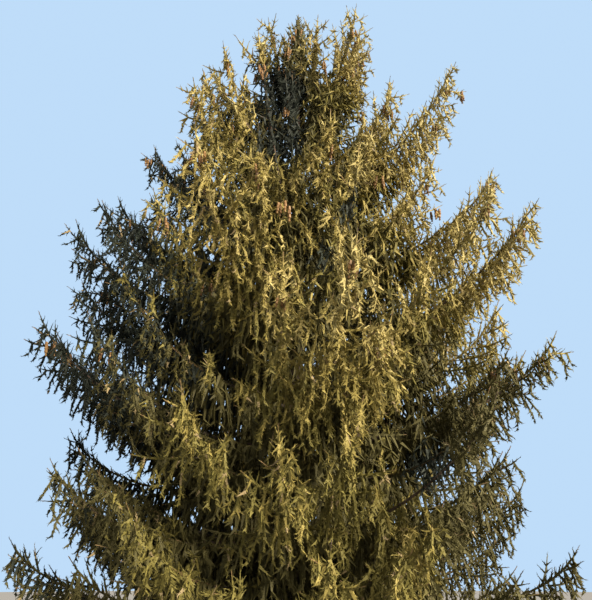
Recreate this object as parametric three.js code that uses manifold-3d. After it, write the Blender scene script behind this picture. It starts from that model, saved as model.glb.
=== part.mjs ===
// Norway spruce: a whole open-grown tree, a little under 10 m tall, rooted in level ground.
// Millimetres, +Z up. The origin is the middle of the trunk's flat cut at ground level.
//
// One trunk runs from the cut to the foot of the leader. Tiers of boughs stand round it, each
// sweeping up to its tip. In the lower tiers a bough is a bare tapering limb that ends where its
// foliage starts. In the upper tiers the foliage meets the trunk. Each mass of foliage is one
// solid: a stem, side twigs, toothed sprays of needles that hang from them like a curtain, and
// cones in the upper crown. It keeps to its own slice of the crown, so no two masses touch.

import * as THREE from "three";
import { mergeVertices } from "three/addons/utils/BufferGeometryUtils.js";
import Module from "manifold-3d";

const wasm = await Module();
wasm.setup();

// Driving dimensions

const CLEARANCE = 0.3; // between a limb and what carries it
const SCRAP = 0.05; // corners that move the surface by less are dropped
const MARGIN = 1.5; // a twig, spray or cone keeps at least this far off the limbs
const GROUND_ROOM = 260; // from the ground to the lowest needles

const TRUNK = {
  height: 8550, // to the foot of the leader
  footRadius: 140,
  tipRadius: 13,
  taper: 0.9,
  flareRadius: 92, // added at the ground, fading upwards
  flareHeight: 210,
  flareRibs: 5,
  ribDepth: 0.3,
  sway: 38, // how far it wanders off the plumb line
  sides: 15,
  rings: [0, 0.012, 0.03, 0.06, 0.12, 0.22, 0.36, 0.52, 0.68, 0.84, 1],
};

// Each tier of boughs: how many, the compass turn of the first, the height where they leave the
// trunk, how far out and how high their tips are, their pitch at both ends, how far their foliage
// hangs down, and how many side twigs each has.
const TIERS = [
  { count: 5, turn: -24, foot: 1100, reach: 2380, tip: 1500, pitch: [-4, 28], hang: 860, twigs: 4 },
  { count: 5, turn: 2, foot: 1950, reach: 2460, tip: 2330, pitch: [-1, 33], hang: 860, twigs: 4 },
  { count: 5, turn: -10, foot: 2830, reach: 2540, tip: 3480, pitch: [3, 40], hang: 860, twigs: 4 },
  { count: 5, turn: 38, foot: 3740, reach: 2560, tip: 4680, pitch: [8, 46], hang: 840, twigs: 4 },
  { count: 5, turn: 54, foot: 4680, reach: 2260, tip: 5640, pitch: [14, 52], hang: 780, twigs: 4 },
  { count: 5, turn: 39, foot: 5600, reach: 1940, tip: 6740, pitch: [24, 56], hang: 700, twigs: 4 },
  { count: 4, turn: 22, foot: 6480, reach: 1260, tip: 7700, pitch: [34, 60], hang: 580, twigs: 3 },
  { count: 4, turn: 66, foot: 7300, reach: 760, tip: 8300, pitch: [48, 66], hang: 460, twigs: 3 },
];
const BARE = { tiers: 4, share: 0.35 }; // the lowest tiers' limbs are bare for this share of them
const SCATTER = { seed: 7080, turn: 7, foot: 60, reach: 0.07, rise: 90, bend: 0.1 };
const SUNNY_SIDE = { turn: 335, more: 0.024 }; // of the reach there, for each tier up
const TIP_ROOM = 180; // how far needles may stand above a tier's own line
const GAP = 14; // between the foliage of neighbouring tiers and boughs

const LIMB = {
  radiusPerReach: 0.0122, // at the trunk
  tipRadius: 6,
  boughSides: 6,
  stemSides: 4,
  steps: 3,
  handle: 0.38, // of the reach, for both handles of the limb's curve
};
const TWIG = {
  first: [0.04, 0.14], // share of the stem below its first twig, past a bare limb or on the trunk
  sides: 3,
  radius: 13,
  tipRadius: 7,
  spread: 0.4, // of the reach, for the longest
  angles: [52, 38], // off the stem, at its foot and at its tip
  lift: 0.4, // of the stem's rise
  droop: 0.12,
};
const SPRAY = {
  shortest: 150,
  cuts: [1, 0.85, 0.7, 0.55, 0.4], // shares of its length that are tried until one fits
  width: 0.5, // of the length
  thickness: 0.032, // of the length
  thickest: 0.42, // share of the length
  rise: 0.5, // of the twig's radius: the root of a hanging spray above the twig's middle
  depth: 1, // of the twig's radius: the root of an end spray behind the twig's tip
  onTwig: 0.5, // where a spray hangs along a twig
  onStem: 0.6, // and along a stem
  lean: 0.15, // outwards, for each unit down
  stray: 0.12, // any way, for each unit down
  end: 440, // length of an end spray
  roll: 70, // how far an end spray may be turned about its own length
};
// A spray's outline, along its length and across half its width: root, tooth, notch, tip, tooth.
const BLADE = [
  [0, 0],
  [0.46, 1],
  [0.56, 0.4],
  [1, 0],
  [0.34, -0.9],
];
const CONE = {
  length: 160,
  radius: 25,
  sides: 4,
  profile: [[0, 0.15], [0.45, 1], [1, 0.3]], // shares of the length and of the radius
  lowestTier: 3,
  everyTwig: 3,
  onTwig: 0.82,
};
const LEADER = {
  height: 1180,
  radius: 13,
  first: 60, // from the leader's foot to its lowest whorl
  whorls: 3,
  shoots: 4,
  twist: 0.4, // of the turn between shoots, from whorl to whorl
  longest: 660,
  shortening: 0.7, // from the lowest whorl to the tip
  pitch: [48, 62],
};

const bark = new THREE.MeshStandardMaterial({ color: 0x5a4636, roughness: 0.92, metalness: 0 });
const needles = new THREE.MeshStandardMaterial({ color: 0x5f5a26, roughness: 0.7, metalness: 0 });

const UP = new THREE.Vector3(0, 0, 1);
const radians = THREE.MathUtils.degToRad;
const lerp = THREE.MathUtils.lerp;

// A repeatable stream of numbers from 0 to 1, the same for the same seed.
function seeded(seed) {
  let state = seed >>> 0;
  return () => {
    state = (state + 0x6d2b79f5) >>> 0;
    let t = state;
    t = Math.imul(t ^ (t >>> 15), t | 1);
    t ^= t + Math.imul(t ^ (t >>> 7), t | 61);
    return ((t ^ (t >>> 14)) >>> 0) / 4294967296;
  };
}

// A number no further than spread from zero.
const around = (random, spread) => (2 * random() - 1) * spread;

// Closed surfaces

function surface(points, index) {
  const geometry = new THREE.BufferGeometry().setFromPoints(points);
  geometry.setIndex(index);
  return geometry;
}

// A skin over rings of points that run counter-clockwise round the way ahead, with flat ends.
function skin(rings) {
  const sides = rings[0].length;
  const last = (rings.length - 1) * sides;
  const index = [];
  for (let i = 0; i < last; i += sides) {
    for (let j = 0; j < sides; j++) {
      const next = (j + 1) % sides;
      index.push(i + j, i + next, i + next + sides, i + j, i + next + sides, i + j + sides);
    }
  }
  for (let j = 1; j + 1 < sides; j++) {
    index.push(0, j + 1, j, last, last + j, last + j + 1);
  }
  return surface(rings.flat(), index);
}

// Two directions square to a way, the first one as near upright as it can be.
function crosswise(way) {
  const side = new THREE.Vector3().crossVectors(way, UP);
  if (side.length() < 1e-3) side.set(1, 0, 0);
  side.normalize();
  return [new THREE.Vector3().crossVectors(side, way).normalize(), side];
}

// A way to face that is square to a way ahead, turned about it by up to a spray's roll.
function rolled(way, random) {
  const turn = radians(around(random, SPRAY.roll));
  return crosswise(way)[0].applyAxisAngle(way, turn);
}

// A tapering limb with a flat underside. Each station has a point, the way ahead and a radius.
function limbSurface(stations, sides) {
  const first = sides % 2 === 0 ? 0.5 : 0;
  return skin(
    stations.map(({ point, way, radius }) => {
      const [over, side] = crosswise(way);
      return Array.from({ length: sides }, (_, j) => {
        const turn = (2 * Math.PI * (j + first)) / sides;
        return point
          .clone()
          .addScaledVector(over, radius * Math.cos(turn))
          .addScaledVector(side, radius * Math.sin(turn));
      });
    }),
  );
}

// A spray of needles: a toothed blade, thickest in its middle.
function spraySurface(root, way, facing, length) {
  const ahead = way.clone().normalize();
  const across = new THREE.Vector3().crossVectors(facing, ahead).normalize();
  const over = new THREE.Vector3().crossVectors(ahead, across);
  const place = (along, aside, above) =>
    root
      .clone()
      .addScaledVector(ahead, along * length)
      .addScaledVector(across, (aside * SPRAY.width * length) / 2)
      .addScaledVector(over, (above * SPRAY.thickness * length) / 2);
  const points = BLADE.map(([along, aside]) => place(along, aside, 0));
  points.push(place(SPRAY.thickest, 0, 1), place(SPRAY.thickest, 0, -1));
  const [front, back] = [BLADE.length, BLADE.length + 1];
  const index = BLADE.flatMap((_, i) => {
    const next = (i + 1) % BLADE.length;
    return [front, next, i, back, i, next];
  });
  return surface(points, index);
}

// A hanging cone, plumpest near its middle.
function coneSurface(point) {
  const way = UP.clone().negate();
  const stations = CONE.profile.map(([share, width]) => ({
    point: point.clone().addScaledVector(way, share * CONE.length),
    way,
    radius: width * CONE.radius,
  }));
  return limbSurface(stations, CONE.sides);
}

// A closed surface as a solid that can be joined, cut and measured.
function solidOf(geometry) {
  const merged = mergeVertices(geometry, 1e-3);
  const vertProperties = new Float32Array(merged.attributes.position.array);
  const triVerts = new Uint32Array(merged.index.array);
  return new wasm.Manifold(new wasm.Mesh({ numProp: 3, vertProperties, triVerts }));
}

// A solid as a named mesh: its largest skin alone, so that loose scraps and sealed hollows go.
function named(name, solid, material) {
  const [largest] = solid
    .simplify(SCRAP)
    .decompose()
    .sort((a, b) => b.volume() - a.volume());
  const { vertProperties, triVerts } = largest.getMesh();
  const geometry = new THREE.BufferGeometry();
  geometry.setAttribute("position", new THREE.BufferAttribute(vertProperties, 3));
  geometry.setIndex(new THREE.BufferAttribute(triVerts, 1));
  const mesh = new THREE.Mesh(geometry, material);
  mesh.name = name;
  return mesh;
}

// Trunk

function trunkCentre(z) {
  const share = z / TRUNK.height;
  const swing = TRUNK.sway * share * share;
  return new THREE.Vector3(-swing * Math.cos(3 * share), 0.6 * swing * Math.sin(5 * share), z);
}

function trunkSolid(grown) {
  const rings = TRUNK.rings.map((share) => {
    const centre = trunkCentre(share * TRUNK.height);
    const taper = Math.pow(1 - share, TRUNK.taper);
    const flare = TRUNK.flareRadius * Math.exp(-centre.z / TRUNK.flareHeight);
    return Array.from({ length: TRUNK.sides }, (_, j) => {
      const turn = (2 * Math.PI * j) / TRUNK.sides;
      const rib = 1 + TRUNK.ribDepth * Math.cos(TRUNK.flareRibs * turn);
      const radius = lerp(TRUNK.tipRadius, TRUNK.footRadius, taper) + flare * rib + grown;
      return centre.clone().add(new THREE.Vector3(radius * Math.cos(turn), radius * Math.sin(turn), 0));
    });
  });
  return solidOf(skin(rings));
}

// Limbs

// A curve in the upright plane of a limb: how far out (x) and how high (y).
function sweep(foot, reach, tip, pitch) {
  const handle = LIMB.handle * reach;
  const [start, end] = pitch.map(radians);
  return new THREE.CubicBezierCurve(
    new THREE.Vector2(0, foot),
    new THREE.Vector2(handle * Math.cos(start), foot + handle * Math.sin(start)),
    new THREE.Vector2(reach - handle * Math.cos(end), tip - handle * Math.sin(end)),
    new THREE.Vector2(reach, tip),
  );
}

// How high a tier's own line runs at a distance from the trunk. Past its tip it runs on straight.
function tierHeight(tier, distance) {
  if (distance > tier.reach) {
    return tier.tip + (distance - tier.reach) * Math.tan(radians(tier.pitch[1]));
  }
  const curve = sweep(tier.foot, tier.reach, tier.tip, tier.pitch);
  let [low, high] = [0, 1];
  for (let i = 0; i < 16; i++) {
    const middle = (low + high) / 2;
    if (curve.getPoint(middle).x < distance) low = middle;
    else high = middle;
  }
  return curve.getPoint(low).y;
}

// The limbs of one tier, scattered by a seeded rule. Upright walls half-way to its neighbours
// bound each limb's slice of the crown.
function limbsOf(tier, level) {
  const random = seeded(SCATTER.seed + level);
  const step = (2 * Math.PI) / tier.count;
  const limbs = Array.from({ length: tier.count }, (_, i) => {
    const turn = radians(tier.turn + around(random, SCATTER.turn)) + i * step;
    const sunny = 1 + SUNNY_SIDE.more * level * Math.cos(turn - radians(SUNNY_SIDE.turn));
    const reach = tier.reach * sunny * (1 + around(random, SCATTER.reach));
    const foot = tier.foot + around(random, SCATTER.foot);
    const tip = tierHeight(tier, reach) + around(random, SCATTER.rise);
    const bend = around(random, SCATTER.bend) * reach;
    const curve = sweep(foot, reach, tip, tier.pitch);
    const bare = level < BARE.tiers ? BARE.share : 0;
    return { tier, level, turn, reach, bend, bare, curve, seed: 10 * SCATTER.seed + 10 * level + i };
  });
  limbs.forEach((limb, i) => {
    const before = i === 0 ? limbs.at(-1).turn - 2 * Math.PI : limbs[i - 1].turn;
    const after = i === limbs.length - 1 ? limbs[0].turn + 2 * Math.PI : limbs[i + 1].turn;
    limb.walls = [(limb.turn + before) / 2, (limb.turn + after) / 2];
  });
  return limbs;
}

// A point on a limb's line, which bends a little to one side on its way out.
function limbPoint(limb, share) {
  const { x: out, y: height } = limb.curve.getPoint(share);
  const aside = limb.bend * share * share;
  const [c, s] = [Math.cos(limb.turn), Math.sin(limb.turn)];
  const axis = trunkCentre(limb.tier.foot);
  return new THREE.Vector3(axis.x + out * c - aside * s, axis.y + out * s + aside * c, height);
}

function limbWay(limb, share) {
  const start = Math.min(share, 0.99);
  return limbPoint(limb, start + 0.01).sub(limbPoint(limb, start)).normalize();
}

function stations(limb, from, to) {
  return Array.from({ length: LIMB.steps + 1 }, (_, i) => {
    const share = lerp(from, to, i / LIMB.steps);
    const radius = lerp(LIMB.radiusPerReach * limb.tier.reach, LIMB.tipRadius, share);
    return { point: limbPoint(limb, share), way: limbWay(limb, share), radius };
  });
}

// The lowest that foliage of a level may hang at a place: clear of the tier below, or the ground.
function floorAt(level, point) {
  if (level === 0) return GROUND_ROOM;
  const tier = TIERS[level - 1];
  const axis = trunkCentre(tier.foot);
  return tierHeight(tier, Math.hypot(point.x - axis.x, point.y - axis.y)) + TIP_ROOM + GAP;
}

function inSlice(limb, point) {
  const axis = trunkCentre(limb.tier.foot);
  const [x, y] = [point.x - axis.x, point.y - axis.y];
  const [right, left] = limb.walls.map((wall) => y * Math.cos(wall) - x * Math.sin(wall));
  if (right < GAP / 2 || left > -GAP / 2) return false;
  const ceiling = tierHeight(limb.tier, Math.hypot(x, y)) + TIP_ROOM;
  return point.z < ceiling && point.z > floorAt(limb.level, point);
}

// Foliage

// Whether the corners and the middles of the edges of a surface all pass a test.
function allInside(geometry, test) {
  const corners = geometry.getAttribute("position");
  const corner = (i) => new THREE.Vector3().fromBufferAttribute(corners, geometry.index.getX(i));
  for (let i = 0; i < geometry.index.count; i++) {
    const next = i % 3 === 2 ? i - 2 : i + 1;
    const [a, b] = [corner(i), corner(next)];
    if (!test(a) || !test(a.lerp(b, 0.5))) return false;
  }
  return true;
}

// A collector of twigs, sprays and cones that keep to a space and off the limbs.
function gatherer(stem, inside, limbs) {
  const pieces = [stem];
  const keep = (geometry) => {
    if (!allInside(geometry, inside)) return false;
    const solid = solidOf(geometry);
    if (limbs.some((limb) => solid.minGap(limb, 2 * MARGIN) < MARGIN)) return false;
    pieces.push(solid);
    return true;
  };
  // Tries a piece at its full length, then shorter, and says which length was kept.
  const fit = (length, make) => {
    const lengths = SPRAY.cuts.map((share) => share * length);
    return lengths.find((each) => each > SPRAY.shortest && keep(make(each))) ?? 0;
  };
  return { pieces, keep, fit };
}

// A sideways way for a twig: off the stem's own way by an angle, sagging a little.
function twigWay(way, angle) {
  const level = new THREE.Vector3(way.x, way.y, 0).normalize().applyAxisAngle(UP, angle);
  return level.setZ(TWIG.lift * way.z - TWIG.droop).normalize();
}

// A straight twig.
const twigSurface = (point, way, length, radius) =>
  limbSurface(
    [
      { point, way, radius },
      { point: point.clone().addScaledVector(way, length), way, radius: TWIG.tipRadius },
    ],
    TWIG.sides,
  );

// One mass of foliage: all that grows on a limb past its bare share, and the limb there itself.
function foliageSolid(limb, limbs) {
  const { tier } = limb;
  const random = seeded(limb.seed);
  const line = stations(limb, limb.bare, 1);
  if (limb.bare > 0) line.forEach(({ point, way }) => point.addScaledVector(way, CLEARANCE));
  const stem = solidOf(limbSurface(line, LIMB.stemSides));
  const { pieces, keep, fit } = gatherer(stem, (point) => inSlice(limb, point), limbs);
  const first = TWIG.first[limb.bare > 0 ? 0 : 1];

  // The middle of the stem, its way and its radius, at a share of its length past its first twig.
  const onStem = (share) => {
    const place = lerp(first, 1, share) * LIMB.steps;
    const step = Math.min(Math.floor(place), LIMB.steps - 1);
    const [before, after] = [line[step], line[step + 1]];
    return {
      point: before.point.clone().lerp(after.point, place - step),
      way: after.point.clone().sub(before.point).normalize(),
      radius: lerp(before.radius, after.radius, place - step),
    };
  };

  const hang = (point, lean, radius) => {
    const root = point.clone().addScaledVector(UP, SPRAY.rise * radius);
    const length = tier.hang * (0.75 + 0.25 * random());
    const stray = [around(random, SPRAY.stray), around(random, SPRAY.stray)];
    const way = new THREE.Vector3(...stray, -1).addScaledVector(lean, SPRAY.lean);
    const facing = new THREE.Vector3(1, 0, 0).applyAxisAngle(UP, random() * Math.PI);
    const room = point.z - floorAt(limb.level, point) - 2 * GAP;
    fit(Math.min(length, room), (each) => spraySurface(root, way, facing, each));
  };

  for (let i = 0; i < tier.twigs; i++) {
    const side = i % 2 === 0 ? 1 : -1;
    const u = (i + 0.3 + around(random, 0.25)) / tier.twigs;
    const { point: foot, way: stemWay } = onStem(u);
    const way = twigWay(stemWay, side * radians(lerp(...TWIG.angles, u)));
    const fan = TWIG.spread * limb.reach * Math.pow(1 - u, 0.7) * Math.min(1, 0.6 + u);
    const longest = fan * (0.85 + 0.15 * random());
    const length = fit(longest, (each) => twigSurface(foot, way, each, TWIG.radius));
    const at = (share) => foot.clone().addScaledVector(way, share * length);
    hang(at(SPRAY.onTwig), way, lerp(TWIG.radius, TWIG.tipRadius, SPRAY.onTwig));
    const end = at(1).addScaledVector(way, -SPRAY.depth * TWIG.tipRadius);
    const facing = rolled(way, random);
    fit(SPRAY.end, (each) => spraySurface(end, way, facing, each));
    if (limb.level >= CONE.lowestTier && i % CONE.everyTwig === 1) keep(coneSurface(at(CONE.onTwig)));
  }
  const middle = onStem(SPRAY.onStem);
  hang(middle.point, middle.way, middle.radius);

  const ahead = line.at(-1).way;
  const tip = line.at(-1).point.clone().addScaledVector(ahead, -SPRAY.depth * LIMB.tipRadius);
  const facing = rolled(ahead, random);
  fit(SPRAY.end, (each) => spraySurface(tip, ahead, facing, each));
  return wasm.Manifold.union(pieces);
}

// The leader: a stem straight up from the trunk with whorls of upswept shoots.
function leaderSolid() {
  const random = seeded(LEADER.height);
  const foot = trunkCentre(TRUNK.height).setZ(TRUNK.height + CLEARANCE);
  const stem = solidOf(twigSurface(foot, UP, LEADER.height - SPRAY.end, LEADER.radius));
  const { pieces, fit } = gatherer(stem, (point) => point.z > floorAt(TIERS.length, point), []);
  for (let whorl = 0; whorl < LEADER.whorls; whorl++) {
    const u = whorl / LEADER.whorls;
    for (let i = 0; i < LEADER.shoots; i++) {
      const turn = ((i + LEADER.twist * whorl + around(random, 0.1)) * 2 * Math.PI) / LEADER.shoots;
      const pitch = radians(lerp(...LEADER.pitch, u));
      const way = new THREE.Vector3(Math.cos(turn), Math.sin(turn), Math.tan(pitch)).normalize();
      const point = foot.clone().setZ(foot.z + LEADER.first + u * (LEADER.height - SPRAY.end));
      const length = LEADER.longest * (1 - LEADER.shortening * u) * (0.85 + 0.15 * random());
      const facing = rolled(way, random);
      fit(length, (each) => spraySurface(point, way, facing, each));
    }
  }
  const top = foot.clone().setZ(foot.z + LEADER.height - SPRAY.end - TWIG.tipRadius);
  fit(SPRAY.end, (each) => spraySurface(top, UP, new THREE.Vector3(1, 0, 0), each));
  return wasm.Manifold.union(pieces);
}

// The whole tree

const tree = new THREE.Group();
const trunk = trunkSolid(0);
const core = trunkSolid(CLEARANCE / Math.cos(Math.PI / TRUNK.sides));
tree.add(named("trunk", trunk, bark));

TIERS.forEach((tier, level) => {
  const limbs = limbsOf(tier, level);
  const boughs = limbs
    .filter((limb) => limb.bare > 0)
    .map((limb) => solidOf(limbSurface(stations(limb, 0, limb.bare), LIMB.boughSides)).subtract(core));
  boughs.forEach((bough, i) => tree.add(named(`bough_${level + 1}_${i + 1}`, bough, bark)));
  limbs.forEach((limb, i) => {
    const foliage = foliageSolid(limb, [trunk, ...boughs]).subtract(core);
    tree.add(named(`foliage_${level + 1}_${i + 1}`, foliage, needles));
  });
});
tree.add(named("leader_foliage", leaderSolid(), needles));

export default tree;
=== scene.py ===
"""Norway spruce: the looks of a whole open-grown tree, grown round the packed trunk and masses."""

import math
from dataclasses import dataclass
from functools import cache

import bmesh
import bpy
import numpy as np
from bpy.props import FloatProperty, FloatVectorProperty, IntProperty, PointerProperty
from mathutils import Matrix, Vector, noise


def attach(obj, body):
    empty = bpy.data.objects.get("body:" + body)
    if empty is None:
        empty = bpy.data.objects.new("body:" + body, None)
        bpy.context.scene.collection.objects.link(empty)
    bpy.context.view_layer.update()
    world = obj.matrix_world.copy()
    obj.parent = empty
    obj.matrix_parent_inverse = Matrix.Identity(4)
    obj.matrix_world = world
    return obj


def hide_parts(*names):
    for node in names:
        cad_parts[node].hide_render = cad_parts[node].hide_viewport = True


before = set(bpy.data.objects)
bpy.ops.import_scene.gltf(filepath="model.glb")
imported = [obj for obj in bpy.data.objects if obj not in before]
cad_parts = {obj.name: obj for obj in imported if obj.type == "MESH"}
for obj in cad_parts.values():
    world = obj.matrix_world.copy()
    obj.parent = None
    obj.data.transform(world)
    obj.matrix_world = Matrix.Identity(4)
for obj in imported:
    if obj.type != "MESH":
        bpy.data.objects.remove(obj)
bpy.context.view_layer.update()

bl_info = {
    "name": "Norway Spruce",
    "version": (1, 0, 0),
    "blender": (4, 5, 0),
    "location": "3D View > Sidebar > Spruce",
    "description": "Grows bark, twigs, needle sprays and cones on the limbs of a Norway spruce",
    "category": "Add Mesh",
}

UP = np.array((0.0, 0.0, 1.0))
ASIDE = np.array((1.0, 0.0, 0.0))
GOLDEN_TURN = math.radians(137.5)

# Sizes that the tree's solids have too, in metres and degrees

TRUNK_HEIGHT = 8.55
TRUNK_FOOT_RADIUS = 0.140
TRUNK_TIP_RADIUS = 0.013
TRUNK_TAPER = 0.9
FLARE_RADIUS = 0.092
FLARE_HEIGHT = 0.210
FLARE_RIBS = 5
RIB_DEPTH = 0.3
SWAY = 0.038


@dataclass(frozen=True)
class Tier:
    """One tier of boughs, as the tree's solids have it."""

    count: int
    turn: float
    foot: float
    reach: float
    tip: float
    pitch: tuple
    hang: float


TIERS = (
    Tier(count=5, turn=-24, foot=1.10, reach=2.38, tip=1.50, pitch=(-4, 28), hang=0.86),
    Tier(count=5, turn=2, foot=1.95, reach=2.46, tip=2.33, pitch=(-1, 33), hang=0.86),
    Tier(count=5, turn=-10, foot=2.83, reach=2.54, tip=3.48, pitch=(3, 40), hang=0.86),
    Tier(count=5, turn=38, foot=3.74, reach=2.56, tip=4.68, pitch=(8, 46), hang=0.84),
    Tier(count=5, turn=54, foot=4.68, reach=2.26, tip=5.64, pitch=(14, 52), hang=0.78),
    Tier(count=5, turn=39, foot=5.60, reach=1.94, tip=6.74, pitch=(24, 56), hang=0.70),
    Tier(count=4, turn=22, foot=6.48, reach=1.26, tip=7.70, pitch=(34, 60), hang=0.58),
    Tier(count=4, turn=66, foot=7.30, reach=0.76, tip=8.30, pitch=(48, 66), hang=0.46),
)
BARE_TIERS = 4
SEED = 7080
SCATTER_TURN = 7
SCATTER_FOOT = 0.06
SCATTER_REACH = 0.07
SCATTER_RISE = 0.09
SCATTER_BEND = 0.1
SUNNY_TURN = 335
SUNNY_MORE = 0.024
LIMB_RADIUS_PER_REACH = 0.0122
LIMB_TIP_RADIUS = 0.006
LIMB_HANDLE = 0.38
TWIG_SPREAD = 0.4
TWIG_ANGLES = (52, 38)
TWIG_LIFT = 0.4
TWIG_DROOP = 0.12
END_RUN = 0.40
LEADER_HEIGHT = 1.18
GROUND_ROOM = 0.25

# Lines of limbs and twigs

WAY_STEP = 0.02
LIMB_POINTS = 25
LIMB_END = 0.97
END_STEPS = 5
END_RISE = 0.9
WOOD_STEP = 0.14
WOOD_ROLL = 0.4
SPACING_SCATTER = (0.75, 1.25)

# Limbs between the tiers

STOREY_HEIGHT = 0.5
STOREY_TURN = 0.4
STOREY_REACH = (0.64, 0.88)
LOW_STOREY_REACH = (0.84, 0.99)
STOREY_SCATTER_FOOT = 0.12
STOREY_SCATTER_TURN = 0.25
STOREY_BARE = (0.06, 0.14)


@dataclass(frozen=True)
class Stray:
    """A limb between the tiers, out of their rule."""

    level: int
    turn: float
    foot: float
    reach: float
    tip: float


STRAYS = (
    Stray(level=1, turn=267, foot=1.95, reach=2.15, tip=2.28),
    Stray(level=4, turn=199, foot=4.25, reach=2.50, tip=4.95),
    Stray(level=1, turn=205, foot=1.60, reach=2.00, tip=2.00),
    Stray(level=0, turn=212, foot=1.85, reach=2.05, tip=2.35),
    Stray(level=0, turn=200, foot=2.50, reach=1.90, tip=3.00),
    Stray(level=1, turn=335, foot=1.90, reach=2.00, tip=2.40),
    Stray(level=4, turn=348, foot=3.30, reach=2.20, tip=4.10),
)
STRAY_SEED = 500

# Forks of a limb

FORK_FEET = (0.16, 0.36)
FORK_ANGLES = (18, 36)
FORK_LENGTHS = (0.74, 0.92)
FORK_LIFT = 0.16
FORK_STEPS = 10
FORK_CLOSING = 0.55
FORK_REACH = 0.7
FORK_BARE = 0.08
FORK_THICKER = 0.004

# Boughs, with shares of their length and runs in metres

LIMB_BARE = 0.12
FULLNESS = 0.8
STOREY_FULLNESS = 1.0
SHORTER_HANG = 0.9
BOUGH_THIN = 0.004
LAST_TWIG = 0.45
LOW_TWIG_SPACING = 1.08
CLOSER_PER_TIER = 0.07
BOUGH_CLOTHED_FROM = 0.12
TUFTS_END = 0.25
BOUGH_FROND = 0.55
BOUGH_CURTAIN_END = 0.12
BOUGH_HANG_LESS = 0.8
BOUGH_HANG_CURVE = 1.2
CLOSE_UNDER_BOUGH = 0.54

# Side twigs of a bough

TWIG_STEPS = 6
TWIG_TURN = 12
TWIG_TILT = 0.22
TWIG_FAN_CURVE = 0.7
TWIG_FAN_FOOT = 0.6
TWIG_END_LESS = 0.35
TWIG_LENGTHS = (0.5, 1.0)
TWIG_RISE = 0.25
TWIG_RISE_PER_TIER = 0.06
TWIG_SAG = 0.25
TWIG_THIN = 0.003
TWIG_THICKER = 0.005
TWIG_CLOTHED_FROM = 0.2
TWIG_FROND_FROM = 0.25
TWIG_CURTAIN_FROM = 0.05
TWIG_CURTAIN_END = 0.06
HANG_LESS_ALONG_BOUGH = 0.55
HANG_LESS_ALONG_TWIG = 0.75
TWIG_HANG_CURVE = 1.3
CROSSING_SHARES = np.linspace(0.3, 1, 5)

# Side shoots of a twig or a tip

FROND_TIP = 0.11
FROND_TIP_SHARE = 0.4
FROND_TIP_SCATTER = (0.8, 1.2)
SIDE_SHORTEST = 0.042
SIDE_GAIN = 0.22
SIDE_SCATTER = (0.7, 1.1)
SIDE_ANGLES = (46, 64)
SIDE_ROLLS = (-0.4, 1.1)
SIDE_LIFT = 0.15
OPEN_TIP = 0.3
OPEN_SPACING = 1.4

# Hanging branchlets


@dataclass(frozen=True)
class Tassel:
    """A kind of hanging branchlet: its joints, and the places and lengths of the shoots on each."""

    joint: float
    shares: tuple
    smalls: tuple


OUTER_TASSEL = Tassel(joint=0.12, shares=(0.2, 0.5, 0.8), smalls=(0.045, 0.085))
INNER_TASSEL = Tassel(joint=0.18, shares=(0.6,), smalls=(0.09, 0.15))
SHORTEST_TASSEL = 0.06
TASSEL_CROOK = 0.24
TASSEL_LEAN = 0.9
TASSEL_PLUMB = 0.8
TASSEL_SPREAD = (0.8, 1.5)
TASSEL_SMALLER = 0.3
HANG_SHARES = (0.35, 1.0)
HANG_LEANS = (0.0, 0.6)
HANG_ASIDE = 0.5
HANG_SCATTER = (0.65, 1.35)
INNER_CLOSER = 0.6
GAP_SHOOT_ASIDE = 0.07
GAP_SHOOT_DROPS = (0.05, 0.12)

# Shoots that stand up along a bough

TUFT_AHEAD = (0.3, 1.1)
TUFT_ASIDE = 1.0
TUFT_UP = (0.2, 1.0)
TUFT_LENGTHS = (0.05, 0.12)
TUFT_SCATTER = (0.6, 1.4)
UPRIGHT_SHARE = 0.16
UPRIGHT_LENGTHS = (0.16, 0.34)
UPRIGHT_STEPS = 4
UPRIGHT_RISE = 1.2
UPRIGHT_BARE = 0.02

# Cones, with their share of twigs by tier

CONE_BEARING = (0, 0, 0.006, 0.01, 0.03, 0.06, 0.09, 0.11)
LOWEST_CONE_LEVEL = 2
TWIG_CONES = 2
LIMB_CONES = 3
CONES_MORE = 4
TWIG_CONE_RUNS = (0.04, 0.16)
LIMB_CONE_RUNS = (0.2, 0.4)
CONE_ASIDE = 0.055
CONE_STALK = 0.012
CONE_LEAN = 0.2
CONE_SIZES = (0.8, 1.08)
CONE_ROWS = 4
CONE_SIDES = 5
CONE_FOOT = 0.35
CONE_LIPS = ((0.72, 0.08), (1.0, 0.85))

# The leader, and the neck of the trunk under it

NECK = 0.85
NECK_BOUGHS = 16
NECK_TURN = 0.2
NECK_PITCHES = (40, 50)
NECK_LENGTHS = (0.80, 0.56)
NECK_STEPS = 5
NECK_RISE = 0.4
NECK_WOOD = 0.007
NECK_REACH = 0.4
NECK_BARE = 0.05
NECK_FULLNESS = 0.6
NECK_HANG = 0.35
LEADER_WOOD = 0.013
LEADER_CLOTHED_FROM = 0.2
LEADER_TONE = 0.1
LEADER_FROND = 0.1
LEADER_FROND_LONGEST = 0.2
LEADER_FROND_TONE = 0.05
LEADER_WHORLS = 5
LEADER_SHOOTS = 5
LEADER_LONGEST = 0.66
LEADER_SHORTER = 0.75
LEADER_SCATTER = (0.8, 1)
WHORL_TURN = 0.4
WHORL_SCATTER_TURN = 0.15
WHORL_PITCHES = (46, 60)
WHORL_FOOT = 0.04
WHORL_TOP = 0.30
WHORL_STEPS = 4
WHORL_RISE = 0.3
WHORL_WOOD = 0.006
WHORL_FROND_FROM = 0.1
WHORL_FROND_LONGEST = 0.16
CONE_WHORLS = 3
WHORL_CONE_SHARE = 0.6
WHORL_CONE_PLACE = 0.6

# Shoots and their needles

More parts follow.
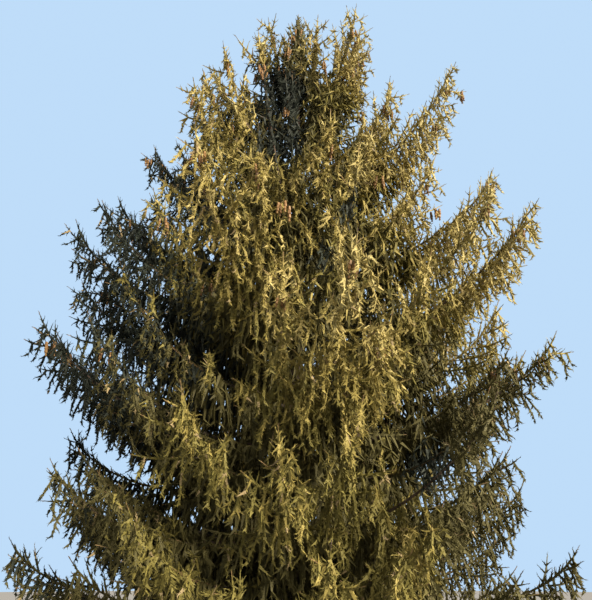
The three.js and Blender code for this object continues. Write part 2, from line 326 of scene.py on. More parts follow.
LONG_KINDS = (0, 1, 2)
SHORT_KINDS = (3, 4)
SPARSE_KIND = 5
CORE_KIND = 6
END_KIND = 7
SHORT_SHOOT = 0.095
SHORT_SHARE = 0.55
SPARSE_NEEDLES = 2
INNER = 0.54
INNER_WIDTH = 1.25
SLIM = 0.66
NEEDLE_TURN = 0.3
NEEDLE_LEANS = (56, 24)
NEEDLE_LEAN_CURVE = 1.5
NEEDLE_LEAN_SCATTER = 8
NEEDLE_SIZES = (0.85, 1.1)
NEEDLE_FOOT = 0.5
LAST_NEEDLE = 0.97
CORE_SIDES = 3
CORE_TAPER = 0.8
END_CORE = 1.3
WOOD_SIDES = 3
WOOD_TAPER = 0.88

# Bark

BOUGH_RING = 0.05
BOUGH_SIDES = 8
BOUGH_END_THINNER = 0.6
PLATE_HEIGHT = 1.5
CRACK_EDGE = 3.2
PLATE_GRAIN = 2.3
PLATE_ROUGHNESS = 0.2
DEEPEST_CRACK = 0.12

# Tints of the sprays, and what a spray's score takes from its place, much of it painted light and shade

TINTS = (
    "needle_tip",
    "needle_gold",
    "needle_olive",
    "needle_moss",
    "needle_deep",
    "needle_straw",
    # The last two are painted shade: the cool dark of the shaded side and of the gaps
    "needle_cool_shade",
    "needle_shade",
)
TIP, GOLD, OLIVE, MOSS, DEEP, STRAW, COOL_SHADE, SHADE = range(len(TINTS))
TINT_STEPS = ((0.98, TIP), (0.80, GOLD), (0.60, OLIVE), (0.42, MOSS))
# Painted shade: on the shaded side and behind a gap, moss and deep sprays take the cool dark tints
COOLER = {MOSS: COOL_SHADE, DEEP: SHADE}
# One tint darker: the close needles of a shoot deep in the crown take it, as painted shade between its
# needles
DARKER = {
    TIP: GOLD,
    GOLD: OLIVE,
    OLIVE: MOSS,
    MOSS: DEEP,
    DEEP: DEEP,
    STRAW: OLIVE,
    COOL_SHADE: SHADE,
    SHADE: SHADE,
}
STRAW_SHARE = 0.025
# A spray's score rises towards the crown's skin and on fresh tips: partly the lighter fresh growth, partly
# painted light and shade, golden on the lit skin and deep green in the crown's shaded inside
OUTER_WEIGHT = 0.76
FRESH_WEIGHT = 0.16
SCORE_SCATTER = 0.14
BOUGH_TONE = 0.13
TWIG_TONE = 0.08
TASSEL_TONE = 0.12
# Painted light and shade: sprays on the side that the key light comes from are more golden, partly as
# sun-grown needles are yellower, and those on the far side are painted darker
SUN_SIDE = (0.9, -0.44)
BACK = 0.5
SUN_REACH = 1.3
SUN_TINT = 0.23
SHADE_TINT = 0.58
COOL_SIDE = -0.38
COOL_SCATTER = 0.35
# Painted shadow: low sprays out on both flanks, most on the right, are darker, as a neighbour's shade would
# make them
LOW_PLACES = (-1.7, -0.7, 0.85, 1.3)
LOW_SHADOW_TINTS = (0.6, 0.0, 0.0, 1.4)
LOW_HEIGHTS = (3.1, 4.1)
# Painted shade: short of the right flank, the low part's tints are pulled towards one dull score, the gold
# dimmed and the darkest lifted
EVEN_HEIGHTS = (2.3, 3.5)
EVEN_SCORE = 0.43
EVEN_SHARE = 0.65
OUTERMOST = 1.1
CROWN_HEIGHTS = [0] + [tier.tip for tier in TIERS] + [TRUNK_HEIGHT + LEADER_HEIGHT]
CROWN_RADII = [TIERS[0].reach] + [tier.reach + END_RUN for tier in TIERS] + [0.1]

# Gaps in the crown


@dataclass(frozen=True)
class Hollow:
    """A gap between boughs, open to the crown's dark inside: round a line from its mouth inwards."""

    start: tuple
    end: tuple
    radius: float


HOLLOWS = (
    Hollow(start=(-0.12, -2.6, 5.54), end=(-0.17, -0.9, 7.22), radius=0.32),
    Hollow(start=(-0.11, -2.7, 4.93), end=(-0.15, -1.2, 6.20), radius=0.24),
    Hollow(start=(0.43, -2.8, 4.12), end=(0.53, -1.9, 4.72), radius=0.14),
    Hollow(start=(0.19, -2.8, 3.72), end=(0.24, -1.9, 4.22), radius=0.13),
    Hollow(start=(0.86, -2.6, 2.27), end=(1.21, -1.0, 2.54), radius=0.20),
)
HOLLOW_STARTS = np.array([hollow.start for hollow in HOLLOWS])
HOLLOW_WAYS = np.array([hollow.end for hollow in HOLLOWS]) - HOLLOW_STARTS
HOLLOW_RADII = np.array([hollow.radius for hollow in HOLLOWS])
# Painted shade: a shoot in a gap is near black, and sprays behind a gap, up to so many times its depth, are
# darker and cooler
GAP_SHADE_TONE = -0.7
BEHIND = 1.7
BEHIND_GAP_SHADE = 0.6

# Stage

SENSOR_WIDTH = 36
FARTHEST_SEEN = 200
FLOOR_SIDES = 64
FLOOR_GAP = 0.002

# Chance

MASK = 0xFFFFFFFF


class Chance:
    """A repeatable stream of numbers, the same as the solids have for the same seed."""

    def __init__(self, seed):
        self.state = seed & MASK

    def draw(self):
        """A number from 0 to 1."""
        self.state = (self.state + 0x6D2B79F5) & MASK
        t = self.state
        t = ((t ^ (t >> 15)) * (t | 1)) & MASK
        t ^= (t + (((t ^ (t >> 7)) * (t | 61)) & MASK)) & MASK
        return ((t ^ (t >> 14)) & MASK) / 4294967296

    def around(self, spread):
        """A number no further than spread from zero."""
        return (2 * self.draw() - 1) * spread

    def between(self, low, high):
        """A number from low to high."""
        return low + (high - low) * self.draw()


# Settings that a user would change


class TrunkSizes(bpy.types.PropertyGroup):
    """The bark's relief on the trunk and on the limbs."""

    plate: FloatProperty(
        name="Bark plate", description="Width of one plate of bark", default=0.042, unit="LENGTH"
    )
    depth: FloatProperty(
        name="Crack depth", description="Depth of the cracks between plates", default=0.006, unit="LENGTH"
    )
    sides: IntProperty(name="Trunk sides", description="Faces round the trunk", default=48, min=12)
    ring: FloatProperty(
        name="Ring spacing", description="Height of one ring of faces", default=0.040, unit="LENGTH"
    )


class CrownSizes(bpy.types.PropertyGroup):
    """How close together twigs and branchlets grow, and how long they are."""

    twig_spacing: FloatProperty(
        name="Side twigs", description="From one side twig to the next", default=0.158, unit="LENGTH"
    )
    side_spacing: FloatProperty(
        name="Side shoots", description="From one pair of shoots to the next", default=0.050, unit="LENGTH"
    )
    tuft_spacing: FloatProperty(
        name="Tufts", description="From one upright shoot of a bough to the next", default=0.05, unit="LENGTH"
    )
    hang_spacing: FloatProperty(
        name="Curtain", description="From one hanging branchlet to the next", default=0.090, unit="LENGTH"
    )
    longest_side: FloatProperty(
        name="Side shoot", description="Length of the longest side shoots", default=0.095, unit="LENGTH"
    )


class ShootSizes(bpy.types.PropertyGroup):
    """One shoot with its needles."""

    length: FloatProperty(name="Shoot", description="Length of one shoot", default=0.13, unit="LENGTH")
    core: FloatProperty(
        name="Core", description="Radius of the close needles along a shoot", default=0.0116, unit="LENGTH"
    )
    needle: FloatProperty(name="Needle", description="Length of a needle", default=0.027, unit="LENGTH")
    width: FloatProperty(
        name="Needle width", description="Width of a needle at its foot", default=0.0095, unit="LENGTH"
    )
    count: IntProperty(name="Needles", description="Needles that stand out of one shoot", default=8, min=4)


class ConeSizes(bpy.types.PropertyGroup):
    """A hanging cone."""

    length: FloatProperty(name="Cone", description="Length of a cone", default=0.145, unit="LENGTH")
    radius: FloatProperty(name="Girth", description="Radius at its middle", default=0.018, unit="LENGTH")


def colour_prop(name, description, default):
    """A colour that a user can pick."""
    return FloatVectorProperty(
        name=name, description=description, default=default, subtype="COLOR", size=3, min=0, max=1
    )


class Colours(bpy.types.PropertyGroup):
    """Colours of bark, twigs, needles and cones."""

    bark_plate: colour_prop("Bark plates", "Grey brown of the plates", (0.150, 0.105, 0.078))
    bark_crack: colour_prop("Bark cracks", "Dark brown between the plates", (0.040, 0.024, 0.017))
    twig_old: colour_prop("Old twigs", "Grey brown wood", (0.070, 0.055, 0.040))
    twig_young: colour_prop("Young twigs", "Tan shoots under the needles", (0.160, 0.098, 0.040))
    # The tip and gold tints are partly painted sunlight on the crown's skin, and the deep tint partly painted
    # shade inside the crown
    needle_tip: colour_prop("Tip needles", "Gold green of the outermost sprays", (0.362, 0.306, 0.122))
    needle_gold: colour_prop("Gold needles", "Sprays of the crown's skin", (0.324, 0.263, 0.092))
    needle_olive: colour_prop("Olive needles", "Most sprays", (0.230, 0.186, 0.050))
    needle_moss: colour_prop("Moss needles", "Sprays further in", (0.142, 0.122, 0.030))
    needle_deep: colour_prop("Deep needles", "Sprays in the crown's shade", (0.072, 0.064, 0.020))
    needle_straw: colour_prop("Straw needles", "Old dry sprays", (0.250, 0.190, 0.095))
    # Painted shade: the cool and shade tints are the dark of the shaded side and of the gaps
    needle_cool_shade: colour_prop("Cool needles", "Sprays of the shaded side", (0.046, 0.058, 0.042))
    needle_shade: colour_prop("Shade needles", "The shaded side, further in", (0.018, 0.023, 0.016))
    cone_scale: colour_prop("Cone scales", "Tan edges of the scales", (0.280, 0.152, 0.044))
    cone_gap: colour_prop("Cone gaps", "Dark brown between the scales", (0.090, 0.042, 0.016))


class StageSizes(bpy.types.PropertyGroup):
    """Camera, light and floor."""

    eye_height: FloatProperty(name="Eye height", description="Camera height", default=1.6, unit="LENGTH")
    distance: FloatProperty(
        name="Distance", description="From the camera to the trunk", default=6.6, unit="LENGTH"
    )
    look_up: FloatProperty(
        name="Look up", description="Pitch of the camera", default=math.radians(25), subtype="ANGLE"
    )
    lens: FloatProperty(name="Lens", description="Focal length in millimetres", default=35.1)
    floor: FloatProperty(name="Floor", description="Radius of the floor", default=60, unit="LENGTH")
    floor_colour: colour_prop("Floor colour", "Pale grey", (0.27, 0.265, 0.26))
    key: FloatProperty(name="Key", description="Strength of the key light", default=10.9)
    key_colour: colour_prop("Key colour", "Warm", (1.0, 0.89, 0.73))
    key_angle: FloatProperty(
        name="Key angle", description="Width of the sun's disc", default=math.radians(30), subtype="ANGLE"
    )
    key_side: FloatVectorProperty(
        name="Key side", description="The side that the key light comes from", default=(0.75, -0.62, 0.42)
    )
    fill: FloatProperty(name="Fill", description="Strength of the light from all round", default=0.60)
    fill_colour: colour_prop("Fill colour", "Soft white from all round", (0.72, 0.76, 0.78))
    backdrop: colour_prop("Backdrop", "Pale blue behind the tree", (0.52, 0.72, 0.95))


GROUPS = {
    "spruce_trunk": TrunkSizes,
    "spruce_crown": CrownSizes,
    "spruce_shoot": ShootSizes,
    "spruce_cone": ConeSizes,
    "spruce_colours": Colours,
    "spruce_stage": StageSizes,
}


def settings(group):
    """The scene's settings of one group."""
    return getattr(bpy.context.scene, f"spruce_{group}")


# Trunk and limbs, by the rule of the solids


def blend(low, high, share):
    """The value at a share of the way from low to high."""
    return low + (high - low) * share


def unit(way):
    """A way with a length of one."""
    return way / np.linalg.norm(way)


def swung(way, angle):
    """A way turned about the plumb line by an angle."""
    c, s = math.cos(angle), math.sin(angle)
    return np.array((way[0] * c - way[1] * s, way[0] * s + way[1] * c, way[2]))


def upswept(turn, pitch):
    """The way on a compass turn that rises by a pitch in degrees."""
    return unit(np.array((math.cos(turn), math.sin(turn), math.tan(math.radians(pitch)))))


def trunk_centre(z):
    """The middle of the trunk at a height."""
    share = z / TRUNK_HEIGHT
    swing = SWAY * share * share
    return np.array((-swing * math.cos(3 * share), 0.6 * swing * math.sin(5 * share), z))


def trunk_radius(z, turn):
    """The trunk's radius at a height, on the side that a turn gives."""
    taper = (1 - z / TRUNK_HEIGHT) ** TRUNK_TAPER
    flare = FLARE_RADIUS * math.exp(-z / FLARE_HEIGHT) * (1 + RIB_DEPTH * math.cos(FLARE_RIBS * turn))
    return blend(TRUNK_TIP_RADIUS, TRUNK_FOOT_RADIUS, taper) + flare


def sweep(foot, reach, tip, pitch):
    """The four handles of a limb's curve: how far out, and how high."""
    handle = LIMB_HANDLE * reach
    start, end = (math.radians(angle) for angle in pitch)
    return np.array(
        (
            (0, foot),
            (handle * math.cos(start), foot + handle * math.sin(start)),
            (reach - handle * math.cos(end), tip - handle * math.sin(end)),
            (reach, tip),
        )
    )


def sweep_at(curve, share):
    """The place on a limb's curve at a share of it."""
    rest = 1 - share
    weights = (rest**3, 3 * rest**2 * share, 3 * rest * share**2, share**3)
    return np.dot(weights, curve)


def tier_height(tier, distance):
    """How high a tier's own line runs at a distance from the trunk, and straight on past its tip."""
    if distance > tier.reach:
        return tier.tip + (distance - tier.reach) * math.tan(math.radians(tier.pitch[1]))
    curve = sweep(tier.foot, tier.reach, tier.tip, tier.pitch)
    low, high = 0.0, 1.0
    for _ in range(16):
        middle = (low + high) / 2
        if sweep_at(curve, middle)[0] < distance:
            low = middle
        else:
            high = middle
    return sweep_at(curve, low)[1]


@dataclass
class Limb:
    """One limb: its tier, its compass turn and its curve."""

    tier: Tier
    level: int
    turn: float
    reach: float
    bend: float
    curve: np.ndarray
    seed: int

    def point(self, share):
        """A point on the limb's line, which bends a little to one side on its way out."""
        out, height = sweep_at(self.curve, share)
        aside = self.bend * share * share
        c, s = math.cos(self.turn), math.sin(self.turn)
        axis = trunk_centre(self.tier.foot)
        return np.array((axis[0] + out * c - aside * s, axis[1] + out * s + aside * c, height))


def limbs_of(tier, level):
    """The limbs of one tier, scattered by the seeded rule of the solids."""
    chance = Chance(SEED + level)
    limbs = []
    for i in range(tier.count):
        turn = math.radians(tier.turn + chance.around(SCATTER_TURN)) + i * math.tau / tier.count
        sunny = 1 + SUNNY_MORE * level * math.cos(turn - math.radians(SUNNY_TURN))
        reach = tier.reach * sunny * (1 + chance.around(SCATTER_REACH))
        foot = tier.foot + chance.around(SCATTER_FOOT)
        tip = tier_height(tier, reach) + chance.around(SCATTER_RISE)
        bend = chance.around(SCATTER_BEND) * reach
        curve = sweep(foot, reach, tip, tier.pitch)
        limbs.append(Limb(tier, level, turn, reach, bend, curve, 10 * SEED + 10 * level + i))
    return limbs


# Lines


class Line:
    """The middle line of a limb, twig or branchlet, measured along its length."""

    def __init__(self, points):
        self.points = np.array(points)
        steps = np.linalg.norm(np.diff(self.points, axis=0), axis=1)
        self.marks = np.concatenate(((0.0,), np.cumsum(steps)))
        self.length = self.marks[-1]

    def at(self, run):
        """The point, or points, at a run along the line."""
        return np.stack([np.interp(run, self.marks, self.points[:, i]) for i in range(3)], axis=-1)

    def way(self, run):
        """The way ahead at a run along the line."""
        before, after = self.at(max(run - WAY_STEP, 0)), self.at(min(run + WAY_STEP, self.length))
        return unit(after - before)


def grown_line(point, way, length, steps, turn_up):
    """A line that sets out one way and turns up, or down, by a rule of its share of the length."""
    points = [point]
    for i in range(steps):
        ahead = unit(way + UP * turn_up((i + 0.5) / steps))
        points.append(points[-1] + ahead * length / steps)
    return Line(points)


def limb_line(limb):
    """A limb's line from the trunk to the tip of its last shoot."""
    points = [limb.point(share) for share in np.linspace(0, 1, LIMB_POINTS)]
    way = unit(limb.point(1) - limb.point(LIMB_END))
    end = grown_line(points[-1], way, END_RUN, END_STEPS, lambda share: END_RISE * share)
    return Line(points + list(end.points[1:]))


def fork_line(line, side, chance):
    """The line of a fork, which leaves a limb to one side and runs on beside it, a little shorter."""
    run = chance.between(*FORK_FEET) * (line.length - END_RUN)
    angle = side * math.radians(chance.between(*FORK_ANGLES))
    length = (line.length - run) * chance.between(*FORK_LENGTHS)
    lift = chance.around(FORK_LIFT)
    points = [line.at(run)]
    for i in range(FORK_STEPS):
        share = (i + 0.5) / FORK_STEPS
        beside = line.way(blend(run, line.length, share))
        ahead = swung(beside, angle * (1 - FORK_CLOSING * share)) + UP * lift * (1 - share)
        points.append(points[-1] + ahead * length / FORK_STEPS)
    return Line(points)


def side_way(way, side, angle, roll):
    """A way off a line to one side, by an angle, turned about the line by a roll."""
    level = np.cross(way, UP)
    across = (unit(level) if level.any() else ASIDE) * side
    over = np.cross(across, way) * side
    aside = across * math.cos(roll) + over * math.sin(roll)
    return unit(way * math.cos(angle) + aside * math.sin(angle))


# Tints by place, much of them painted light and shade


def outer_share(point):
    """How far out in the crown a point is: 0 at the trunk, 1 at the crown's skin."""
    radius = np.interp(point[2], CROWN_HEIGHTS, CROWN_RADII)
    return min(math.hypot(point[0], point[1]) / radius, OUTERMOST)


def near_hollow(deeper, point):
    """Whether a point would be in a gap between boughs, were each gap so many times as deep."""
    off = point - HOLLOW_STARTS
    ways = HOLLOW_WAYS * deeper
    share = np.clip((off * ways).sum(1) / (ways**2).sum(1), 0, 1)
    return (np.linalg.norm(off - ways * share[:, None], axis=1) < HOLLOW_RADII).any()


def in_hollow(*points):
    """Whether any of the points is in a gap between boughs."""
    return any(near_hollow(1, point) for point in points)


def tint_of(point, outer, fresh, tone, chance):
    """The tint of a spray: golden at the crown's sunny skin and on fresh tips, deep green inside, partly as
    painted sunlight and shade.

    Painted shade makes it darker in and behind a gap and on the far sides of the low part,
    whose middle is evened out to a dull tint, and darker and cooler away from the key light.
    """
    # Painted shade: a spray in a gap is near black
    if tone <= GAP_SHADE_TONE:
        return SHADE
    if chance.draw() < STRAW_SHARE:
        return STRAW
    # Painted light and shade by side, less of it at the back
    sunny = np.clip((SUN_SIDE[0] * point[0] + SUN_SIDE[1] * min(point[1], BACK)) / SUN_REACH, -1, 1)
    # Painted shadow on the low flanks
    low = np.interp(point[0], LOW_PLACES, LOW_SHADOW_TINTS) * np.interp(point[2], LOW_HEIGHTS, (1, 0))
    place = sunny * (SUN_TINT if sunny > 0 else SHADE_TINT) - low
    # Painted shade behind a gap
    behind = near_hollow(BEHIND, point)
    if behind:
        place -= BEHIND_GAP_SHADE
    score = OUTER_WEIGHT * outer + FRESH_WEIGHT * fresh + outer * place + tone + chance.around(SCORE_SCATTER)
    # Painted shade: the low middle is pulled towards a dull tint
    even = EVEN_SHARE * np.interp(point[2], EVEN_HEIGHTS, (1, 0))
    if point[0] < LOW_PLACES[2]:
        score = blend(score, EVEN_SCORE, even)
    tint = next((tint for least, tint in TINT_STEPS if score > least), DEEP)
    # Painted shade: the far side and what lies behind a gap take the cool dark tints
    cool = sunny + even + chance.around(COOL_SCATTER) < COOL_SIDE or behind
    return COOLER.get(tint, tint) if cool else tint


# Shoots, branchlets and twigs


class Growth:
    """What has grown on one tier: rows of start, end, width, roll, kind and finish."""

    def __init__(self):
        self.twigs = []
        self.shoots = []
        self.cones = []

    def wood(self, line, thick, thin):
        """A twig's wood along a line, younger past half of it."""
        count = max(1, round(line.length / WOOD_STEP))
        points = line.at(np.linspace(0, line.length, count + 1))
        for i in range(count):
            share = (i + 0.5) / count
            width = blend(thick, thin, share)
            self.twigs.append((*points[i], *points[i + 1], width, WOOD_ROLL * i, 0, int(share < 0.5)))

    def shoot(self, start, end, fresh, tone, chance, last=False, slim=1.0):
        """One shoot: its needles that stand out, and the close needles along it."""
        outer = outer_share(start)
        tint = tint_of(start, outer, fresh, tone, chance)
        roll = chance.draw() * math.tau
        kinds = SHORT_KINDS if math.dist(start, end) < SHORT_SHOOT else LONG_KINDS
        kind = kinds[int(chance.draw() * len(kinds))]
        core = END_KIND if last else CORE_KIND
        width, under = slim, tint
        # Painted shade: a shoot deep in the crown has its close needles one tint darker
        if outer < INNER:
            kind, width, under = SPARSE_KIND, INNER_WIDTH, DARKER[tint]
        self.shoots.append((*start, *end, slim, roll, kind, tint))
        self.shoots.append((*start, *end, width, roll, core, under))

    def clothe(self, line, start, tone, chance):
        """Shoots along a line, from a run on it to its end."""
        count = max(1, round((line.length - start) / settings("shoot").length))
        points = line.at(np.linspace(start, line.length, count + 1))
        for i in range(count):
            last = i == count - 1
            # Painted shade: shoots in a gap are near black
            here = GAP_SHADE_TONE if in_hollow(points[i]) else tone
            self.shoot(points[i], points[i + 1], (i + 1) / count, here, chance, last, SLIM if last else 1)


def frond(growth, line, start, longest, tone, chance):
    """Side shoots in near pairs back from a line's tip, longer and longer, as on a small fir tree."""
    spacing = settings("crown").side_spacing
    bare_tip = min(FROND_TIP, FROND_TIP_SHARE * line.length)
    run = line.length - bare_tip * chance.between(*FROND_TIP_SCATTER)
    while run > start:
        from_tip = line.length - run
        point, ahead = line.at(run), line.way(run)
        # Painted shade: shoots in a gap are near black
        here = GAP_SHADE_TONE if in_hollow(point) else tone
        for side in (-1, 1):
            length = min(longest, SIDE_SHORTEST + SIDE_GAIN * from_tip) * chance.between(*SIDE_SCATTER)
            angle = math.radians(chance.between(*SIDE_ANGLES))
            way = side_way(ahead, side, angle, chance.between(*SIDE_ROLLS))
            growth.shoot(point, point + (way + UP * SIDE_LIFT) * length, 1, here, chance, True, SLIM)
        run -= spacing * chance.between(*SPACING_SCATTER) * (OPEN_SPACING if from_tip < OPEN_TIP else 1)


def tassel(growth, top, lean, length, tone, chance):
    """A hanging branchlet: a crooked chain of shoots, with shorter ones that stand off it."""
    kind = INNER_TASSEL if outer_share(top) < INNER else OUTER_TASSEL
    count = max(1, round(length / kind.joint))
    step = length / count
    point = top
    for i in range(count):
        crook = np.array((chance.around(TASSEL_CROOK), chance.around(TASSEL_CROOK), -1))
        way = unit(crook + lean * (TASSEL_LEAN - TASSEL_PLUMB * i / count))
        end = point + way * step
        growth.shoot(point, end, (i + 1) / count, tone, chance, i == count - 1)
        for share in kind.shares:
            turn = chance.draw() * math.tau
            aside = np.array((math.cos(turn), math.sin(turn), 0))
            side = unit(way + aside * chance.between(*TASSEL_SPREAD))
            small = chance.between(*kind.smalls) * (1 - TASSEL_SMALLER * i / count)
            foot = point + way * step * share
            growth.shoot(foot, foot + side * small, 1, tone, chance, True)
        point = end


def gap_shoot(growth, point, chance):
    """A short shoot that hangs in a gap, where a branchlet would close it, near black as painted shade."""
    aside = (chance.around(GAP_SHOOT_ASIDE), chance.around(GAP_SHOOT_ASIDE))
    end = point + np.array((*aside, -chance.between(*GAP_SHOOT_DROPS)))
    growth.shoot(point, end, 1, GAP_SHADE_TONE, chance, True)


def curtain(growth, line, start, stop, length_at, tone, chance, close=1.0):
    """Branchlets that hang from a line."""
    spacing = settings("crown").hang_spacing * close
    run = start + spacing * chance.draw()
    while run < stop:
        point = line.at(run)
        length = min(length_at(run) * chance.between(*HANG_SHARES), point[2] - GROUND_ROOM)
        if in_hollow(point, point - UP * length / 2, point - UP * length):
            gap_shoot(growth, point, chance)
        elif length > SHORTEST_TASSEL:
            ahead = line.way(run)
            lean = ahead * chance.between(*HANG_LEANS) + np.cross(ahead, UP) * chance.around(HANG_ASIDE)
            tassel(growth, point, lean, length, tone + chance.around(TASSEL_TONE), chance)
        closer = INNER_CLOSER if outer_share(point) < INNER else 1
        run += spacing * chance.between(*HANG_SCATTER) * closer


def tufts(growth, line, start, stop, tone, chance):
    """Short shoots that stand up along a line, and here and there a small upright tip."""
    spacing = settings("crown").tuft_spacing
    run = start + spacing * chance.draw()
    while run < stop:
        point, ahead = line.at(run), line.way(run)
        forward = ahead * chance.between(*TUFT_AHEAD)
        aside = np.cross(ahead, UP) * chance.around(TUFT_ASIDE)
        way = unit(forward + aside + UP * chance.between(*TUFT_UP))
        upright = chance.draw() < UPRIGHT_SHARE
        # Painted shade: shoots in a gap are near black
        here = GAP_SHADE_TONE if in_hollow(point) else tone
        if upright and here > GAP_SHADE_TONE:
            length = chance.between(*UPRIGHT_LENGTHS)
            tip = grown_line(point, way, length, UPRIGHT_STEPS, lambda share: UPRIGHT_RISE * share)
            growth.clothe(tip, 0, tone, chance)
            frond(growth, tip, UPRIGHT_BARE, settings("crown").longest_side, tone, chance)
        else:
            length = chance.between(*TUFT_LENGTHS)
            growth.shoot(point, point + way * length, 1, here, chance, True)
        run += spacing * chance.between(*TUFT_SCATTER)


def cone_cluster(growth, point, count, chance):
    """Cones that hang from a twig at a point."""
    length = settings("cone").length
    for _ in range(count):
        top = point + np.array((chance.around(CONE_ASIDE), chance.around(CONE_ASIDE), -CONE_STALK))
        size = chance.between(*CONE_SIZES)
        way = unit(np.array((chance.around(CONE_LEAN), chance.around(CONE_LEAN), -1)))
        growth.cones.append((*top, *(top + way * length * size), size, chance.draw() * math.tau, 0, 0))


def cones_near_tip(growth, line, runs, least, chance):
    """A cluster of cones under a line, a run back from its tip."""
    point = line.at(line.length - chance.between(*runs))
    cone_cluster(growth, point, least + int(CONES_MORE * chance.draw()), chance)


@dataclass
class Bough:
    """A bough that carries foliage: its line, where its twigs start, and how far they spread."""

    line: Line
    level: int
    reach: float
    start: float
    fullness: float
    hang: float
    tone: float


def twig_line(bough, run, side, u, chance):
    """The line of a side twig, which sets out by the rule of the solids and turns up at its tip."""
    stem_way = bough.line.way(run)
    ahead = unit(np.array((stem_way[0], stem_way[1], 0)))
    flat = swung(ahead, side * math.radians(blend(*TWIG_ANGLES, u) + chance.around(TWIG_TURN)))
    way = unit(flat + UP * (TWIG_LIFT * stem_way[2] - TWIG_DROOP + chance.around(TWIG_TILT)))
    fan = TWIG_SPREAD * bough.reach * (1 - u) ** TWIG_FAN_CURVE * min(1, TWIG_FAN_FOOT + u)
    full = fan * bough.fullness + END_RUN * (1 - TWIG_END_LESS * u)
    rise = TWIG_RISE + TWIG_RISE_PER_TIER * bough.level

    def turn_up(share):
        return rise * (share**2 - TWIG_SAG * (1 - share))

    return grown_line(bough.line.at(run), way, full * chance.between(*TWIG_LENGTHS), TWIG_STEPS, turn_up)


def grow_twig(growth, line, bough, u, chance):
    """A side twig of a bough: its wood, its needles, its side shoots and its curtain."""
    length = line.length
    tone = bough.tone + chance.around(TWIG_TONE)
    growth.wood(line, TWIG_THIN + TWIG_THICKER * length, TWIG_THIN)
    growth.clothe(line, TWIG_CLOTHED_FROM * length, tone, chance)
    if outer_share(line.at(length)) > INNER:
        frond(growth, line, TWIG_FROND_FROM * length, settings("crown").longest_side, tone, chance)
    hang = bough.hang * (1 - HANG_LESS_ALONG_BOUGH * u)

    def length_at(run):
        return hang * (1 - HANG_LESS_ALONG_TWIG * (run / length) ** TWIG_HANG_CURVE)

    start, stop = TWIG_CURTAIN_FROM * length, length - TWIG_CURTAIN_END
    curtain(growth, line, start, stop, length_at, bough.tone, chance)


def grow_bough(growth, bough, chance):
    """All that grows on one bough past its start."""
    line, start, tone = bough.line, bough.start, bough.tone
    sizes = settings("crown")
    stop = line.length - LAST_TWIG * END_RUN
    spacing = sizes.twig_spacing * (LOW_TWIG_SPACING - CLOSER_PER_TIER * bough.level)
    run = start + spacing * chance.draw()
    side = 1 if chance.draw() < 0.5 else -1
    while run < stop:
        u = (run - start) / (stop - start)
        twig = twig_line(bough, run, side, u, chance)
        side = -side
        if not in_hollow(*twig.at(twig.length * CROSSING_SHARES)):
            grow_twig(growth, twig, bough, u, chance)
            if chance.draw() < CONE_BEARING[bough.level]:
                cones_near_tip(growth, twig, TWIG_CONE_RUNS, TWIG_CONES, chance)
        run += spacing * chance.between(*SPACING_SCATTER)
    growth.clothe(line, start + BOUGH_CLOTHED_FROM * (stop - start), tone, chance)
    tufts(growth, line, start, line.length - TUFTS_END, tone, chance)
    frond(growth, line, max(0, line.length - BOUGH_FROND), sizes.longest_side, tone, chance)

    def length_at(run):
        share = max(0, (run - start) / (line.length - start))
        return bough.hang * (1 - BOUGH_HANG_LESS * share**BOUGH_HANG_CURVE)

    stop = line.length - BOUGH_CURTAIN_END
    curtain(growth, line, start, stop, length_at, tone, chance, CLOSE_UNDER_BOUGH)


# Limbs, storeys and the leader


def grow_limb(growth, limb):
    """All that grows on one limb: its own foliage and that of its two forks."""
    chance = Chance(limb.seed)
    line = limb_line(limb)
    start = LIMB_BARE * (line.length - END_RUN)
    tone = chance.around(BOUGH_TONE)
    hang = limb.tier.hang
    grow_bough(growth, Bough(line, limb.level, limb.reach, start, FULLNESS, hang, tone), chance)
    for side in (-1, 1):
        fork = fork_line(line, side, chance)
        growth.wood(fork, 2 * BOUGH_THIN + FORK_THICKER * fork.length, BOUGH_THIN)
        reach = FORK_REACH * limb.reach
        bough = Bough(fork, limb.level, reach, FORK_BARE, FULLNESS, SHORTER_HANG * hang, tone)
        grow_bough(growth, bough, chance)
        if limb.level >= LOWEST_CONE_LEVEL:
            cones_near_tip(growth, fork, LIMB_CONE_RUNS, TWIG_CONES, chance)
    if limb.level >= LOWEST_CONE_LEVEL:
        cones_near_tip(growth, line, LIMB_CONE_RUNS, LIMB_CONES, chance)


def storey_limb(limb, above, chance):
    """A shorter limb in the space between a limb's tier and the tier above."""
    tier = limb.tier
    foot = blend(tier.foot, above.foot, STOREY_HEIGHT) + chance.around(STOREY_SCATTER_FOOT)
    full = blend(tier.reach, above.reach, STOREY_HEIGHT)
    tip = blend(tier.tip, above.tip, STOREY_HEIGHT)
    reach = full * chance.between(*(LOW_STOREY_REACH if limb.level < BARE_TIERS else STOREY_REACH))
    pitch = tuple(blend(low, high, STOREY_HEIGHT) for low, high in zip(tier.pitch, above.pitch))
    storey = Tier(tier.count, 0, foot, full, tip, pitch, tier.hang)
    turn = limb.turn + STOREY_TURN * math.tau / tier.count + chance.around(STOREY_SCATTER_TURN)
    bend = chance.around(SCATTER_BEND) * reach
    curve = sweep(foot, reach, tier_height(storey, reach), pitch)
    return Limb(storey, limb.level, turn, reach, bend, curve, limb.seed)


def stray_limb(stray, number):
    """The limb of a stray."""
    tier = TIERS[stray.level]
    curve = sweep(stray.foot, stray.reach, stray.tip, tier.pitch)
    return Limb(tier, stray.level, math.radians(stray.turn), stray.reach, 0, curve, STRAY_SEED + number)


